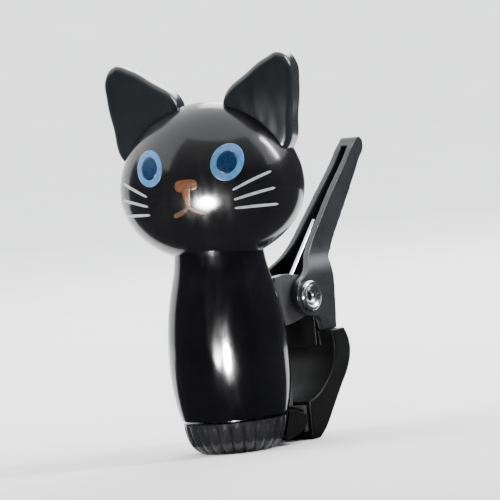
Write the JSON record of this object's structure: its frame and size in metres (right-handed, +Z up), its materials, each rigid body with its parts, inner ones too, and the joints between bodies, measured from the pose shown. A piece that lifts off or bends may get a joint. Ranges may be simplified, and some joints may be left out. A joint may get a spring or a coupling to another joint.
{
  "type": "bag clip",
  "caption": "Spring clip for closing a food bag: a glossy black cat figurine as the front jaw, with a tail-like lever and a rounded rear jaw behind it.",
  "frame": {"origin": "centre of the flat underside of the cat's foot, on the figurine's upright axis", "axes": "+Z up along the figurine, -Y the way the clip's front faces, +X to the cat's left; the lever's hinge runs along X"},
  "size_m": [0.029, 0.0482, 0.0567],
  "materials": {
    "gloss_black": "glossy moulded black",
    "matte_black": "matte moulded black",
    "satin_grey": "satin dark grey moulding",
    "bright_steel": "bright plated steel",
    "soft_rubber": "soft black rubber",
    "print_pale_blue": "printed ink",
    "print_deep_blue": "printed ink",
    "print_tan": "printed ink",
    "print_pale_grey": "printed ink"
  },
  "bodies": {
    "root": {"head_front_shell": "gloss_black", "head_rear_shell": "gloss_black", "neck_peg": "matte_black", "body_shell": "gloss_black", "base_skirt": "gloss_black", "front_lip": "matte_black", "clip_bracket": "satin_grey", "bracket_screw_lower": "bright_steel", "bracket_screw_upper": "bright_steel", "pivot_rivet": "bright_steel", "torsion_spring": "bright_steel", "eye_ring_left": "print_pale_blue", "eye_ring_right": "print_pale_blue", "iris_left": "print_deep_blue", "iris_right": "print_deep_blue", "nose": "print_tan", "mouth_left": "print_tan", "mouth_right": "print_tan", "whisker_upper_left": "print_pale_grey", "whisker_middle_left": "print_pale_grey", "whisker_lower_left": "print_pale_grey", "whisker_upper_right": "print_pale_grey", "whisker_middle_right": "print_pale_grey", "whisker_lower_right": "print_pale_grey", "mouth_stem": "print_tan"},
    "lever_arm": {"lever": "satin_grey", "rear_jaw": "matte_black", "rear_pad": "soft_rubber"}
  },
  "joints": [
    {"name": "lever_pivot", "type": "hinge", "parent": "root", "child": "lever_arm", "pos_m": [0, 0.0146, 0.0205], "axis": [1, 0, 0], "range_deg": [0, 30], "stiffness_Nm_per_rad": 0.12, "springref_deg": -60.16, "deforming": ["torsion_spring"]}
  ]
}
